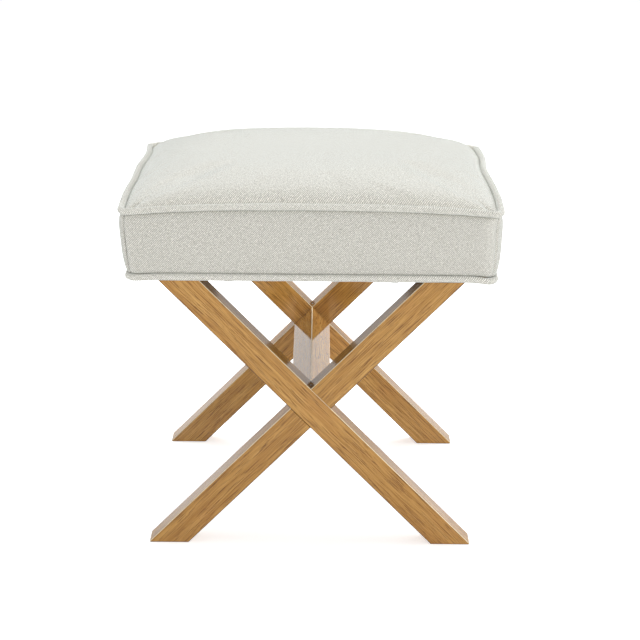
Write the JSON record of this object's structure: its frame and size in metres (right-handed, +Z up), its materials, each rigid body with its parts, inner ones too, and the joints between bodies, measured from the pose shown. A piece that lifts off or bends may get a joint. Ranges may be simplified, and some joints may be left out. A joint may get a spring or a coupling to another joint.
{
  "type": "x frame stool",
  "caption": "Upholstered stool: a boxed, welted cushion with a crowned top on half-lapped wooden X frames joined by a square stretcher.",
  "frame": {"origin": "on the floor, under the middle of the seat", "axes": "+Z up; the front X frame faces -Y and the rear one +Y, with the stretcher along Y; the seat's width is along X"},
  "size_m": [0.4614, 0.4464, 0.4696],
  "materials": {
    "oak": "satin",
    "beech_dowel": "matte",
    "zinc_steel": "satin",
    "plate_steel": "satin",
    "pine": "matte",
    "plywood": "matte",
    "foam": "matte",
    "wadding": "matte",
    "twill": "matte",
    "welt_cord": "matte",
    "black_cloth": "matte",
    "staple_steel": "satin"
  },
  "bodies": {
    "root": {"base_welt": "twill", "base_welt_cord": "welt_cord", "block_screws": "zinc_steel", "board_screws": "zinc_steel", "bolt_washers": "zinc_steel", "cover_front_panel": "twill", "cover_left_panel": "twill", "cover_rear_panel": "twill", "cover_right_panel": "twill", "cover_staples": "staple_steel", "cover_top_panel": "twill", "dust_cover": "black_cloth", "dust_cover_staples": "staple_steel", "foam_pad": "foam", "front_left_corner_block": "pine", "front_leg_lapped": "oak", "front_leg_plate": "plate_steel", "front_leg_through": "oak", "front_rail": "pine", "front_right_corner_block": "pine", "joint_screws": "zinc_steel", "lap_screws": "zinc_steel", "left_rail": "pine", "leg_screws": "zinc_steel", "rear_left_corner_block": "pine", "rear_leg_lapped": "oak", "rear_leg_plate": "plate_steel", "rear_leg_through": "oak", "rear_rail": "pine", "rear_right_corner_block": "pine", "right_rail": "pine", "seat_board": "plywood", "seat_bolts": "zinc_steel", "stretcher": "oak", "stretcher_dowels": "beech_dowel", "threaded_inserts": "zinc_steel", "top_welt": "twill", "top_welt_cord": "welt_cord", "wadding": "wadding"}
  },
  "joints": []
}
